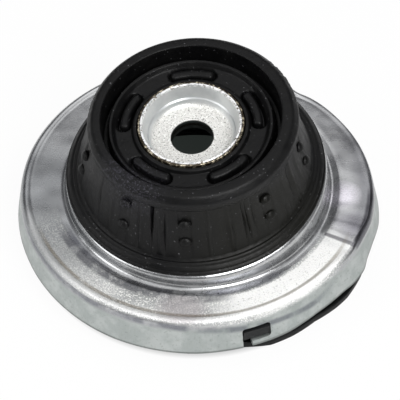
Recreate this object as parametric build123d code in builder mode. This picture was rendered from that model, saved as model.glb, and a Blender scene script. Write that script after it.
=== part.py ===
"""Strut bearing: a rubber top mount on a stamped plate, with a caged ball bearing and spring seat.

Millimetres, +Z up. The origin is on the bearing's turning axis, at the centre of the spring
seat's underside, which is the plane the part rests on. The rubber tower and its steel core
lean from that axis, because the damper rod and the spring don't share one direction.
"""
from math import cos, radians, sin
import os

from build123d import *

os.makedirs("parts", exist_ok=True)

# Tower: heights are measured along its own leaning axis, from the rubber's base plane.
PIVOT_Z = 27.8
LEAN_DEG = 5.43
LEAN_AZIMUTH = -131.2
BASE_R = 44.4
LIP_R = 35.4
LIP_LOW = 23.8
LIP_TOP = 29.6
TRENCH_FLOOR = 20.6
TRENCH_R = 30.2
RIDGE_R = 27.3
RIDGE_TOP = 25.4
BOWL_TOP = 23.4
SIDE_TOP_R = 34.9
SIDE_LOW_R = 39.9
SIDE_LOW = 4.4
DUCT_R = 9.5
LINING_R = 22.2

# Five kidney-shaped bumps round the core.
BUMP_COUNT = 5
BUMP_AZIMUTH = 16.7
BUMP_R = 22.4
BUMP_SPAN = 30
BUMP_WIDTH = 3.2
BUMP_TOP = 24.7
MOAT_R = 22.9
MOAT_WIDTH = 4.9
MOAT_DEPTH = 2.4

# Panels, ribs and nubs of the side wall.
RIB_AZIMUTHS = (-136, -117, -106, -82, -66, -27, 10, 55, 100, 140, 175)
RIB_ARC = 2.4
RIB_PROUD = 0.5
NUB_AZIMUTHS = (-127.5, -94, -48.5, 30, 76, 155)
NUB_R = 1.6
NUB_PROUD = 1.1
NUB_HEIGHTS = (18.6, 11.4)
SLIT_AZIMUTH = -111.3
SLIT_ARC = 2.4
SLIT_DEPTH = 2.2

# Steel core.
ROD_HOLE_R = 7.25
CORE_FLOOR = 18.0
CUP_RIM = 25.6
CUP_INNER_R = 16.4
CUP_WALL = 0.75
CUP_FLOOR_T = 1.6
SHELL_R = 17.9
SHELL_WALL = 0.7
SHELL_FLOOR_T = 1.4
WASHER_T = 1.5

# Stamped plate.
SHEET = 2.4
SEAT_Z = 19.5
COLLAR_R = 45.3
NECK_R = 27.4
NECK_TOP = 13.0
RING_INNER_R = 44.1
BEAD_INNER_R = 57.2
BEAD_RISE = 0.4
SHOULDER_R = 60.6
SKIRT_R = 62.7
SKIRT_BOTTOM = 6.7
EAR_START = -30
EAR_SPAN = 73
EAR_LAP = 1
EAR_RISE = 1.2
EAR_FLAT_R = 54.0
EAR_OFFSET = 7.3
EAR_AZIMUTH = -8
EAR_INSET = 5.7
EAR_EDGE_START = -33
EAR_EDGE_SPAN = 82
SLOT_COUNT = 3
SLOT_AZIMUTH = -70.6
SLOT_WIDTH = 10.0
SLOT_BOTTOM = 9.0
SLOT_TOP = 14.4
NOTCH_WIDTH = 3.2
DIMPLE_BALL_R = 5.1
DIMPLE_LIFT = 4.5
DIMPLE_AT = 50.5
DIMPLE_AZIMUTH = -92

# Bearing, centred on the turning axis.
BALL_COUNT = 24
BALL_R = 2.75
PITCH_R = 46.5
BALL_Z = 9.4
RUNNING_FIT = 0.05
RACE_HALF = 3.5
RACE_T = 2.6
CAGE_T = 1.8
CAGE_HALF = 3.1
POCKET_R = 2.9
RACE_LOW = 5.4
RACE_HIGH = 13.4
CASE_INNER_R = 37.5
CASE_OUTER_R = 56.4
CASE_WALL = 1.6
CASE_CEILING = 9.5
WALL_LOW = 6.0
SPIGOT_R = 41.5
SPIGOT_TOP = 20.0
HOOK_R = 61.2
HOOK_GAP = 0.4
SEAL_T = 1.8
SEAL_TOP = 9.1

# Spring seat pad.
PAD_T = 3.2
PAD_INNER_R = 40.0
PAD_R = 56.8
LOBE_R = 62.7
LOBE_NECK_R = 60.6
LOBE_FOOT = -80
LOBE_SHOULDER = -65
LOBE_WAIST = -48
LOBE_START = -36
LOBE_END = -24
LOBE_TIP = -14

lean = radians(LEAN_DEG)
lean_x = sin(lean) * cos(radians(LEAN_AZIMUTH))
lean_y = sin(lean) * sin(radians(LEAN_AZIMUTH))
tower_dir = Vector(lean_x, lean_y, cos(lean))
tower_x = Vector(cos(lean), 0, -lean_x).normalized()
tower = Plane(origin=(0, 0, PIVOT_Z), x_dir=tower_x, z_dir=tower_dir)
tower_axis = Axis(tower.origin, tower.z_dir)


def tower_plane_at(azimuth):
    """Half-plane of the tower at an azimuth: radius across, height up."""
    across = tower.x_dir * cos(radians(azimuth)) + tower.y_dir * sin(radians(azimuth))
    return Plane(origin=tower.origin, x_dir=across, z_dir=across.cross(tower.z_dir))


def polar_point(radius, azimuth):
    """Point of the bearing's base plane at a radius and an azimuth."""
    return Vector(radius * cos(radians(azimuth)), radius * sin(radians(azimuth)), 0)


def seat_plane_at(azimuth, centre=Vector(0, 0, 0)):
    """Half-plane at an azimuth round an upright axis: radius across, height up."""
    across = polar_point(1, azimuth)
    return Plane(origin=centre, x_dir=across, z_dir=across.cross(Vector(0, 0, 1)))


tower_section = tower_plane_at(0)


def save(piece, name):
    """Label a finished piece and write it as its own file."""
    piece.part.label = name
    export_step(piece.part, f"parts/{name}.step")


def ring_points(inner, outer, low, high):
    """Corners of a rectangular ring section, radius across and height up."""
    return [(inner, low), (outer, low), (outer, high), (inner, high)]


# Inner cup: slightly conical wall, a crease, a wide fillet and a flat floor with the rod hole.
with BuildPart() as core_cup:
    with BuildSketch(tower_section):
        with BuildLine():
            Polyline((ROD_HOLE_R, CORE_FLOOR), (10.8, CORE_FLOOR))
            ThreePointArc((10.8, CORE_FLOOR), (13.3, CORE_FLOOR + 0.7), (14.3, CORE_FLOOR + 2.2))
            Polyline(
                (14.3, CORE_FLOOR + 2.2),
                (14.8, CORE_FLOOR + 2.5),
                (CUP_INNER_R, CUP_RIM),
                (CUP_INNER_R + CUP_WALL, CUP_RIM),
                (CUP_INNER_R + CUP_WALL, CORE_FLOOR + 1.6),
                (14.6, CORE_FLOOR - CUP_FLOOR_T),
                (ROD_HOLE_R, CORE_FLOOR - CUP_FLOOR_T),
                (ROD_HOLE_R, CORE_FLOOR),
            )
        make_face()
    revolve(axis=tower_axis)
save(core_cup, "core_cup")

# Outer shell: the second rim, pressed over the cup, bonded into the rubber.
shell_in = CUP_INNER_R + CUP_WALL + 0.05
shell_floor = CORE_FLOOR - CUP_FLOOR_T
with BuildPart() as core_shell:
    with BuildSketch(tower_section):
        with BuildLine():
            Polyline(
                (ROD_HOLE_R, shell_floor),
                (14.6, shell_floor),
                (shell_in, CORE_FLOOR + 1.6),
                (shell_in, CUP_RIM - 0.25),
                (SHELL_R, CUP_RIM - 0.25),
                (SHELL_R, CORE_FLOOR + 1.2),
                (15.2, shell_floor - SHELL_FLOOR_T),
                (ROD_HOLE_R, shell_floor - SHELL_FLOOR_T),
                close=True,
            )
        make_face()
    revolve(axis=tower_axis)
save(core_shell, "core_shell")

# Stop washer under the core, where the rod's shoulder bears.
washer_top = shell_floor - SHELL_FLOOR_T
with BuildPart() as stop_washer:
    with BuildSketch(tower.offset(washer_top - WASHER_T)):
        Circle(15)
        Circle(ROD_HOLE_R, mode=Mode.SUBTRACT)
    extrude(amount=WASHER_T)
    fillet(stop_washer.edges().filter_by(GeomType.CIRCLE).group_by(SortBy.RADIUS)[-1], 0.5)
save(stop_washer, "stop_washer")

seat_low = SEAT_Z - SHEET


def plate_ring(start, span, rise, centre, inset):
    """A stretch of the plate's seat ring, bead and skirt, turned about its own centre."""
    top = SEAT_Z + rise
    low = seat_low + rise
    inner = RING_INNER_R + (1.2 if inset else 0)
    bead = BEAD_INNER_R - inset
    shoulder = SHOULDER_R - inset
    skirt = SKIRT_R - inset
    with BuildSketch(seat_plane_at(start, centre)) as section:
        with BuildLine():
            Line((inner, low), (inner, top))
            Line((inner, top), (bead, top))
            Line((bead, top), (bead + 1, top + BEAD_RISE))
            ThreePointArc(
                (bead + 1, top + BEAD_RISE),
                (shoulder - 0.9, top + 0.1),
                (shoulder, top - 1.2),
            )
            Line((shoulder, top - 1.2), (skirt, SKIRT_BOTTOM))
            Line((skirt, SKIRT_BOTTOM), (skirt - SHEET, SKIRT_BOTTOM))
            Line((skirt - SHEET, SKIRT_BOTTOM), (shoulder - SHEET + 0.1, low - 1.0))
            Line((shoulder - SHEET + 0.1, low - 1.0), (shoulder - SHEET - 0.9, low))
            Line((shoulder - SHEET - 0.9, low), (inner, low))
        make_face()
    revolve(section.sketch, axis=Axis(centre, (0, 0, 1)), revolution_arc=span)


# Plate: bonded flange with its neck, leaning collar, level seat ring with its ear, and skirt.
with BuildPart() as mount_plate:
    with BuildSketch(tower_section):
        Polygon(*ring_points(COLLAR_R - SHEET, COLLAR_R, -17, 0), align=None)
        Polygon(*ring_points(NECK_R - SHEET, COLLAR_R, -SHEET, 0), align=None)
        Polygon(*ring_points(NECK_R - SHEET, NECK_R, -SHEET, NECK_TOP), align=None)
    revolve(axis=tower_axis)
    with BuildSketch(Plane.XY.offset(seat_low)):
        Circle(PITCH_R + 8)
    extrude(amount=-20, mode=Mode.SUBTRACT)
    ring_start = EAR_START + EAR_SPAN - EAR_LAP
    plate_ring(ring_start, 360 - EAR_SPAN + 2 * EAR_LAP, 0, Vector(0, 0, 0), 0)
    with BuildSketch(seat_plane_at(EAR_START)) as ear_flat:
        Polygon(
            *ring_points(RING_INNER_R, EAR_FLAT_R, seat_low + EAR_RISE, SEAT_Z + EAR_RISE),
            align=None,
        )
    revolve(ear_flat.sketch, axis=Axis.Z, revolution_arc=EAR_SPAN)
    ear_centre = polar_point(EAR_OFFSET, EAR_AZIMUTH)
    plate_ring(EAR_EDGE_START, EAR_EDGE_SPAN, EAR_RISE, ear_centre, EAR_INSET)
    for turn in range(SLOT_COUNT):
        slot_azimuth = SLOT_AZIMUTH + turn * 360 / SLOT_COUNT
        with BuildSketch(seat_plane_at(slot_azimuth).offset(-SLOT_WIDTH / 2)):
            Polygon(*ring_points(SKIRT_R - 6, SKIRT_R + 3, SLOT_BOTTOM, SLOT_TOP), align=None)
        extrude(amount=SLOT_WIDTH, mode=Mode.SUBTRACT)
        with BuildSketch(seat_plane_at(slot_azimuth).offset(SLOT_WIDTH / 2 - NOTCH_WIDTH)):
            Polygon(*ring_points(SKIRT_R - 6, SKIRT_R + 3, 0, SLOT_BOTTOM), align=None)
        extrude(amount=NOTCH_WIDTH, mode=Mode.SUBTRACT)
    with Locations(polar_point(DIMPLE_AT, DIMPLE_AZIMUTH) + Vector(0, 0, SEAT_Z + DIMPLE_LIFT)):
        Sphere(DIMPLE_BALL_R, mode=Mode.SUBTRACT)
save(mount_plate, "mount_plate")

# Kidney bumps of the rubber bowl, rounded on top.
with BuildPart() as bumps:
    with BuildSketch(tower.offset(BOWL_TOP - MOAT_DEPTH - 0.1)):
        for turn in range(BUMP_COUNT):
            middle = BUMP_AZIMUTH + turn * 360 / BUMP_COUNT
            SlotArc(
                Edge.make_circle(
                    BUMP_R, start_angle=middle - BUMP_SPAN / 2, end_angle=middle + BUMP_SPAN / 2
                ),
                BUMP_WIDTH,
            )
    extrude(amount=BUMP_TOP - BOWL_TOP + MOAT_DEPTH + 0.1)
    chamfer(bumps.faces().sort_by(tower_axis)[-BUMP_COUNT:].edges(), 0.5)


def side_strip(azimuth, arc, inner, outer, low, high, mode):
    """A strip of the tower's conical side wall, set proud or sunk."""
    slope = (SIDE_TOP_R - SIDE_LOW_R) / (LIP_LOW - SIDE_LOW)
    low_r = SIDE_LOW_R + slope * (low - SIDE_LOW)
    high_r = SIDE_LOW_R + slope * (high - SIDE_LOW)
    with BuildSketch(tower_plane_at(azimuth - arc / 2)) as section:
        Polygon(
            (low_r + inner, low),
            (low_r + outer, low),
            (high_r + outer, high),
            (high_r + inner, high),
            align=None,
        )
    revolve(section.sketch, axis=tower_axis, revolution_arc=arc, mode=mode)


# Rubber tower: base lip, ribbed conical side, rolled top lip, trench, ridge and bowl.
with BuildPart() as rubber_tower:
    with BuildSketch(tower_section):
        with BuildLine():
            Polyline((17.6, BOWL_TOP - 0.2), (25.6, BOWL_TOP), (RIDGE_R - 0.8, RIDGE_TOP))
            Polyline((RIDGE_R - 0.8, RIDGE_TOP), (RIDGE_R, RIDGE_TOP), (RIDGE_R + 0.7, RIDGE_TOP - 1))
            Line((RIDGE_R + 0.7, RIDGE_TOP - 1), (RIDGE_R + 1.0, TRENCH_FLOOR + 1.2))
            ThreePointArc(
                (RIDGE_R + 1.0, TRENCH_FLOOR + 1.2),
                ((RIDGE_R + 1.0 + TRENCH_R) / 2, TRENCH_FLOOR),
                (TRENCH_R, TRENCH_FLOOR + 1.2),
            )
            Line((TRENCH_R, TRENCH_FLOOR + 1.2), (TRENCH_R, LIP_TOP - 0.7))
            ThreePointArc(
                (TRENCH_R, LIP_TOP - 0.7),
                (TRENCH_R + 0.25, LIP_TOP - 0.15),
                (TRENCH_R + 0.9, LIP_TOP),
            )
            Line((TRENCH_R + 0.9, LIP_TOP), (LIP_R - 3.2, LIP_TOP - 0.2))
            ThreePointArc(
                (LIP_R - 3.2, LIP_TOP - 0.2),
                (LIP_R - 0.9, LIP_TOP - 1.3),
                (LIP_R, LIP_TOP - 3.4),
            )
            Polyline(
                (LIP_R, LIP_TOP - 3.4),
                (LIP_R, LIP_LOW + 0.3),
                (SIDE_TOP_R, LIP_LOW - 0.5),
                (SIDE_LOW_R, SIDE_LOW),
            )
            Polyline((SIDE_LOW_R, SIDE_LOW), (SIDE_LOW_R + 1.1, SIDE_LOW - 0.9))
            Line((SIDE_LOW_R + 1.1, SIDE_LOW - 0.9), (BASE_R - 1.6, SIDE_LOW - 1.2))
            Line((BASE_R - 1.6, SIDE_LOW - 1.2), (BASE_R, 1.4))
            Polyline(
                (BASE_R, 1.4),
                (BASE_R, 0),
                (NECK_R - 0.5, 0),
                (NECK_R - SHEET, -SHEET),
                (LINING_R, -SHEET),
                (LINING_R - 0.8, 5.0),
            )
            ThreePointArc((LINING_R - 0.8, 5.0), (18.6, 9.6), (12.5, 11.6))
            Polyline(
                (12.5, 11.6),
                (DUCT_R, 11.6),
                (DUCT_R, washer_top - WASHER_T),
                (15.0, washer_top - WASHER_T),
                (15.0, washer_top + 0.6),
                (17.6, CORE_FLOOR + 1),
                (17.6, BOWL_TOP - 0.2),
            )
        make_face()
    revolve(axis=tower_axis)
    with BuildSketch(tower.offset(BOWL_TOP + 1)):
        for turn in range(BUMP_COUNT):
            middle = BUMP_AZIMUTH + turn * 360 / BUMP_COUNT
            SlotArc(
                Edge.make_circle(
                    MOAT_R, start_angle=middle - BUMP_SPAN / 2, end_angle=middle + BUMP_SPAN / 2
                ),
                MOAT_WIDTH,
            )
    extrude(amount=-MOAT_DEPTH - 1, mode=Mode.SUBTRACT)
    add(bumps.part)
    for azimuth in RIB_AZIMUTHS:
        side_strip(azimuth, RIB_ARC, -0.5, RIB_PROUD, SIDE_LOW - 0.5, LIP_LOW - 1.5, Mode.ADD)
    for azimuth in NUB_AZIMUTHS:
        for height in NUB_HEIGHTS:
            nub_r = SIDE_LOW_R - (SIDE_LOW_R - SIDE_TOP_R) * height / LIP_LOW + NUB_PROUD - NUB_R
            with Locations(tower_plane_at(azimuth).from_local_coords(Vector(nub_r, height, 0))):
                Sphere(NUB_R)
    side_strip(SLIT_AZIMUTH, SLIT_ARC, -SLIT_DEPTH, 2, SIDE_LOW - 0.4, LIP_LOW - 2, Mode.SUBTRACT)
    add(mount_plate.part, mode=Mode.SUBTRACT)
    add(core_shell.part, mode=Mode.SUBTRACT)
    add(core_cup.part, mode=Mode.SUBTRACT)
    add(stop_washer.part, mode=Mode.SUBTRACT)
save(rubber_tower, "rubber_tower")

race_in = PITCH_R - RACE_HALF
race_out = PITCH_R + RACE_HALF
groove_r = BALL_R + RUNNING_FIT

# Upper and lower races: pressed rings with a ball groove.
with BuildPart() as upper_race:
    with BuildSketch(Plane.XZ):
        Polygon(*ring_points(race_in, race_out, RACE_HIGH - RACE_T, RACE_HIGH), align=None)
        with Locations((PITCH_R, BALL_Z)):
            Circle(groove_r, mode=Mode.SUBTRACT)
    revolve(axis=Axis.Z)
save(upper_race, "upper_race")

with BuildPart() as lower_race:
    with BuildSketch(Plane.XZ):
        Polygon(*ring_points(race_in, race_out, RACE_LOW, RACE_LOW + RACE_T), align=None)
        with Locations((PITCH_R, BALL_Z)):
            Circle(groove_r, mode=Mode.SUBTRACT)
    revolve(axis=Axis.Z)
save(lower_race, "lower_race")

# Cage with one round pocket for each ball.
with BuildPart() as ball_cage:
    with BuildSketch(Plane.XY.offset(BALL_Z - CAGE_T / 2)):
        Circle(PITCH_R + CAGE_HALF)
        Circle(PITCH_R - CAGE_HALF, mode=Mode.SUBTRACT)
        with PolarLocations(PITCH_R, BALL_COUNT):
            Circle(POCKET_R, mode=Mode.SUBTRACT)
    extrude(amount=CAGE_T)
save(ball_cage, "ball_cage")

for number in range(BALL_COUNT):
    with BuildPart() as ball:
        with Locations(polar_point(PITCH_R, number * 360 / BALL_COUNT) + Vector(0, 0, BALL_Z)):
            Sphere(BALL_R)
    save(ball, f"ball_{number + 1:02d}")

# Upper case: plastic ring under the plate, with a spigot, two walls and its snap hooks.
with BuildPart() as upper_case:
    with BuildSketch(Plane.XZ):
        Polygon(*ring_points(CASE_INNER_R, CASE_OUTER_R, CASE_CEILING, seat_low), align=None)
        Polygon(*ring_points(CASE_INNER_R, SPIGOT_R, seat_low, SPIGOT_TOP), align=None)
        Polygon(
            *ring_points(CASE_INNER_R, CASE_INNER_R + CASE_WALL, WALL_LOW, CASE_CEILING),
            align=None,
        )
        Polygon(
            *ring_points(CASE_OUTER_R - CASE_WALL, CASE_OUTER_R, WALL_LOW, CASE_CEILING),
            align=None,
        )
        Polygon(
            *ring_points(race_in, race_out, CASE_CEILING, RACE_HIGH),
            align=None,
            mode=Mode.SUBTRACT,
        )
    revolve(axis=Axis.Z)
    hook_width = SLOT_WIDTH - 2 * HOOK_GAP
    for turn in range(SLOT_COUNT):
        slot_azimuth = SLOT_AZIMUTH + turn * 360 / SLOT_COUNT
        with BuildSketch(seat_plane_at(slot_azimuth).offset(-hook_width / 2)):
            Polygon(
                (CASE_OUTER_R - 1, SLOT_BOTTOM + HOOK_GAP),
                (HOOK_R, SLOT_BOTTOM + HOOK_GAP),
                (HOOK_R, SLOT_TOP - 1.0),
                (CASE_OUTER_R - 1, SLOT_TOP - HOOK_GAP),
                align=None,
            )
        extrude(amount=hook_width)
    fillet(upper_case.edges().filter_by(GeomType.CIRCLE).group_by(Axis.Z)[-1], 0.5)
save(upper_case, "upper_case")

# Lower case: plastic carrier of the lower race, and base of the spring seat.
with BuildPart() as lower_case:
    with BuildSketch(Plane.XZ):
        Polygon(*ring_points(CASE_INNER_R, CASE_OUTER_R, PAD_T, RACE_LOW), align=None)
        Polygon(
            *ring_points(race_in - CASE_WALL + 0.1, race_in - 0.1, RACE_LOW, RACE_LOW + RACE_T),
            align=None,
        )
        Polygon(
            *ring_points(race_out + 0.1, race_out + CASE_WALL - 0.1, RACE_LOW, RACE_LOW + RACE_T),
            align=None,
        )
    revolve(axis=Axis.Z)
save(lower_case, "lower_case")

# Dust seals inside the two walls.
seal_in = CASE_INNER_R + CASE_WALL + 0.4
with BuildPart() as inner_seal:
    with BuildSketch(Plane.XZ):
        Polygon(
            (seal_in, RACE_LOW),
            (seal_in + SEAL_T, RACE_LOW),
            (seal_in + SEAL_T, RACE_LOW + 1.5),
            (seal_in + 0.9, SEAL_TOP),
            (seal_in + 0.2, SEAL_TOP),
            (seal_in, RACE_LOW + 1.5),
            align=None,
        )
    revolve(axis=Axis.Z)
save(inner_seal, "inner_seal")

seal_out = CASE_OUTER_R - CASE_WALL - 0.4
with BuildPart() as outer_seal:
    with BuildSketch(Plane.XZ):
        Polygon(
            (seal_out, RACE_LOW),
            (seal_out - SEAL_T, RACE_LOW),
            (seal_out - SEAL_T, RACE_LOW + 1.5),
            (seal_out - 0.9, SEAL_TOP),
            (seal_out - 0.2, SEAL_TOP),
            (seal_out, RACE_LOW + 1.5),
            align=None,
        )
    revolve(axis=Axis.Z)
save(outer_seal, "outer_seal")

# Rubber pad that the spring's end coil bears on, with the lobe at the coil's end.
with BuildPart() as spring_pad:
    with BuildSketch():
        Circle(PAD_R)
        with BuildLine():
            Line(polar_point(PAD_R - 1, LOBE_FOOT), polar_point(LOBE_NECK_R, LOBE_SHOULDER))
            ThreePointArc(
                polar_point(LOBE_NECK_R, LOBE_SHOULDER),
                polar_point(LOBE_NECK_R, (LOBE_SHOULDER + LOBE_WAIST) / 2),
                polar_point(LOBE_NECK_R, LOBE_WAIST),
            )
            Line(polar_point(LOBE_NECK_R, LOBE_WAIST), polar_point(LOBE_R, LOBE_START))
            ThreePointArc(
                polar_point(LOBE_R, LOBE_START),
                polar_point(LOBE_R, (LOBE_START + LOBE_END) / 2),
                polar_point(LOBE_R, LOBE_END),
            )
            Line(polar_point(LOBE_R, LOBE_END), polar_point(PAD_R - 1, LOBE_TIP))
            Line(polar_point(PAD_R - 1, LOBE_TIP), polar_point(PAD_INNER_R + 4, LOBE_WAIST))
            Line(polar_point(PAD_INNER_R + 4, LOBE_WAIST), polar_point(PAD_R - 1, LOBE_FOOT))
        make_face()
        Circle(PAD_INNER_R, mode=Mode.SUBTRACT)
    extrude(amount=PAD_T)
    fillet(spring_pad.edges().group_by(Axis.Z)[0].sort_by(SortBy.LENGTH)[-1], 0.6)
save(spring_pad, "spring_pad")
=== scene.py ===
"""Looks of a strut bearing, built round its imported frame.

Metres in Blender and millimetres in the sizes below. +Z runs up the bearing's turning axis, and the
rubber tower with its steel core leans from it.
"""
import math

import bmesh
import bpy
import numpy as np
from mathutils import Matrix, Vector


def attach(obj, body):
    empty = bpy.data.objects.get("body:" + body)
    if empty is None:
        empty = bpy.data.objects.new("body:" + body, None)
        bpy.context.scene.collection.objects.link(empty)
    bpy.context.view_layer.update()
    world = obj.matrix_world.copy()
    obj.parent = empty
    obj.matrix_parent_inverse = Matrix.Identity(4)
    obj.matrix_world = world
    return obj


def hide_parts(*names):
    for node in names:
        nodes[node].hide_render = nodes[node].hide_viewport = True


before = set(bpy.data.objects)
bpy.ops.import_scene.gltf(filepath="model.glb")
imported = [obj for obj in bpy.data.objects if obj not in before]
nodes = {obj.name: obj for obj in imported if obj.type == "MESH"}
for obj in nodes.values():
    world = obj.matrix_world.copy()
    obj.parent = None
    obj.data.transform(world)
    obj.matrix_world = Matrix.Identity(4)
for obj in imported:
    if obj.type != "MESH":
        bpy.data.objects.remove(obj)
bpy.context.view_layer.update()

MM = 0.001

# The tower's own frame: it leans from the bearing's axis and crosses it at the rubber's base plane.
LEAN = math.radians(5.43)
LEAN_TO = math.radians(-131.2)
PIVOT_Z = 27.8
TOWER_UP = Vector((
    math.sin(LEAN) * math.cos(LEAN_TO),
    math.sin(LEAN) * math.sin(LEAN_TO),
    math.cos(LEAN),
))
TOWER_X = Vector((TOWER_UP.z, 0, -TOWER_UP.x)).normalized()
TOWER_Y = TOWER_UP.cross(TOWER_X)
TOWER = Matrix((
    (TOWER_X.x, TOWER_Y.x, TOWER_UP.x, 0),
    (TOWER_X.y, TOWER_Y.y, TOWER_UP.y, 0),
    (TOWER_X.z, TOWER_Y.z, TOWER_UP.z, PIVOT_Z * MM),
    (0, 0, 0, 1),
))

# Stamped plate.
SEAT_Z = 19.5
SHEET = 2.4
COLLAR_R = 45.3
NECK_R = 27.4
NECK_TOP = 13.0
FLAT_R = 57.2
SHOULDER_R = 60.6
SKIRT_R = 62.7
SKIRT_BOTTOM = 6.7
SLOT_AZIMUTH = -70.6
SLOT_WIDTH = 10.0
SLOT_BOTTOM = 9.0
SLOT_TOP = 14.4
NOTCH_WIDTH = 3.2

# Rubber tower, heights up its own axis.
BASE_R = 44.4
LIP_R = 35.4
LIP_TOP = 29.6
TRENCH_R = 30.2
RIDGE_R = 27.3
BOWL_TOP = 23.4
BUMP_COUNT = 5
BUMP_FIRST = 16.7
BUMP_INNER = 20.8
BUMP_OUTER = 24.0
BUMP_LENGTH = 14.8
BUMP_TOP = 24.7
DUCT_R = 9.5

# Steel core.
ROD_HOLE_R = 7.25
CORE_FLOOR = 18.0
CUP_RIM = 25.6
CUP_INNER_R = 16.4
SHELL_R = 17.9

# Spring pad.
PAD_T = 3.2
PAD_INNER_R = 40.0
PAD_R = 56.8


def linked(name, data):
    """An object with this data, linked into the scene."""
    item = bpy.data.objects.new(name, data)
    bpy.context.scene.collection.objects.link(item)
    return item


# Camera: where the photograph was taken from.
camera_data = bpy.data.cameras.new("camera")
camera_data.lens = 174.15
camera_data.sensor_width = 36.0
camera_data.clip_start = 0.05
camera_data.clip_end = 20.0
camera = linked("camera", camera_data)
camera.matrix_world = Matrix((
    (1, 0, 0, 1.51 * MM),
    (0, 0.7677, -0.6408, -434.22 * MM),
    (0, 0.6408, 0.7677, 531.19 * MM),
    (0, 0, 0, 1),
))
bpy.context.scene.camera = camera
bpy.context.scene.view_settings.view_transform = "Standard"


# Colours and nodes.
def ink(text):
    """A colour written as an sRGB hex value, in the linear numbers that Blender wants."""
    parts = [int(text[i:i + 2], 16) / 255 for i in (1, 3, 5)]
    return [p / 12.92 if p <= 0.04045 else ((p + 0.055) / 1.055) ** 2.4 for p in parts] + [1.0]


def feed(tree, node, sockets):
    """Gives a node's inputs a value, a node's output, or a node, which stands for its first output."""
    for name, value in sockets.items():
        if isinstance(value, bpy.types.Node):
            value = value.outputs[0]
        if isinstance(value, bpy.types.NodeSocket):
            tree.links.new(value, node.inputs[name])
        elif isinstance(value, str) and value.startswith("#"):
            node.inputs[name].default_value = ink(value)
        else:
            node.inputs[name].default_value = value


def add(tree, kind, sockets=None, **settings):
    """Adds a node of this kind, or one that holds this node group, and returns it.

    Settings are its properties, and sockets is what its inputs are fed.
    """
    grouped = isinstance(kind, bpy.types.NodeTree)
    node = tree.nodes.new("ShaderNodeGroup" if grouped else kind)
    if grouped:
        node.node_tree = kind
    for name, value in settings.items():
        setattr(node, name, value)
    feed(tree, node, sockets or {})
    return node


def new_group(name, given, gives):
    """An empty shader group: given holds its inputs with their defaults, gives names its outputs."""
    group = bpy.data.node_groups.new(name, "ShaderNodeTree")
    for label, value in given.items():
        kind = "NodeSocketVector" if isinstance(value, tuple) else "NodeSocketFloat"
        group.interface.new_socket(label, in_out="INPUT", socket_type=kind).default_value = value
    for label in gives:
        group.interface.new_socket(label, in_out="OUTPUT", socket_type="NodeSocketFloat")
    return group, add(group, "NodeGroupInput").outputs


def new_finish(name):
    """A named material with a Principled shader, and the object's coordinates in millimetres."""
    material = bpy.data.materials.new(name)
    material.use_nodes = True
    tree = material.node_tree
    tree.nodes.clear()
    shader = add(tree, "ShaderNodeBsdfPrincipled")
    add(tree, "ShaderNodeOutputMaterial", {"Surface": shader})
    place = add(tree, "ShaderNodeTexCoord").outputs["Object"]
    place = add(tree, "ShaderNodeVectorMath", {0: place, 3: 1 / MM}, operation="SCALE").outputs[0]
    return material, tree, shader, place


def painted(tree, ground, *layers):
    """A colour painted over with layers, each a hex value, its strength and the share it covers."""
    tone = ground
    for colour, strength, share in layers:
        cover = add(tree, "ShaderNodeMath", {0: share, 1: strength}, operation="MULTIPLY")
        tone = add(tree, "ShaderNodeMix", {0: cover, 6: tone, 7: colour}, data_type="RGBA").outputs[2]
    return tone


# Groups that say where a finish changes. Each gives a share from 0 to 1, which stays within the
# share that comes in as Within. Places and lengths are in millimetres, angles in degrees.
ORIGIN = (0.0, 0.0, 0.0)

# Cloudy patches about Size across: 0 where the noise lies under Low, and 1 over High.
PATCHES, given = new_group("patches", {
    "Place": ORIGIN, "Size": 1.0, "Low": 0.35, "High": 0.65, "Detail": 3.0,
    "Stretch": (1.0, 1.0, 1.0), "Within": 1.0,
}, ["Share"])
stretched = add(PATCHES, "ShaderNodeMapping", {"Vector": given["Place"], "Scale": given["Stretch"]})
fineness = add(PATCHES, "ShaderNodeMath", {0: 1.0, 1: given["Size"]}, operation="DIVIDE")
cloud = add(PATCHES, "ShaderNodeTexNoise", {
    "Vector": stretched, "Scale": fineness, "Detail": given["Detail"], "Roughness": 0.6,
})
share = add(PATCHES, "ShaderNodeMapRange", {
    0: cloud, 1: given["Low"], 2: given["High"], 4: given["Within"],
})
add(PATCHES, "NodeGroupOutput", {"Share": share})

# A spot: 1 nearer than Inner to the point Centre, falling to 0 at Outer.
SPOT, given = new_group("spot", {
    "Place": ORIGIN, "Centre": ORIGIN, "Inner": 1.0, "Outer": 2.0, "Within": 1.0,
}, ["Share"])
away = add(SPOT, "ShaderNodeVectorMath", {0: given["Place"], 1: given["Centre"]}, operation="DISTANCE")
share = add(SPOT, "ShaderNodeMapRange", {
    0: away.outputs["Value"], 1: given["Outer"], 2: given["Inner"], 4: given["Within"],
})
add(SPOT, "NodeGroupOutput", {"Share": share})

# A band: 1 where Value lies from Low to High, easing to 0 over Soft at both ends.
BAND, given = new_group("band", {
    "Value": 0.0, "Low": 0.0, "High": 1.0, "Soft": 1.0, "Within": 1.0,
}, ["Share"])
start = add(BAND, "ShaderNodeMath", {0: given["Low"], 1: given["Soft"]}, operation="SUBTRACT")
rise = add(BAND, "ShaderNodeMapRange", {
    0: given["Value"], 1: start, 2: given["Low"], 4: given["Within"],
})
end = add(BAND, "ShaderNodeMath", {0: given["High"], 1: given["Soft"]}, operation="ADD")
share = add(BAND, "ShaderNodeMapRange", {0: given["Value"], 1: end, 2: given["High"], 4: rise})
add(BAND, "NodeGroupOutput", {"Share": share})

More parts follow.
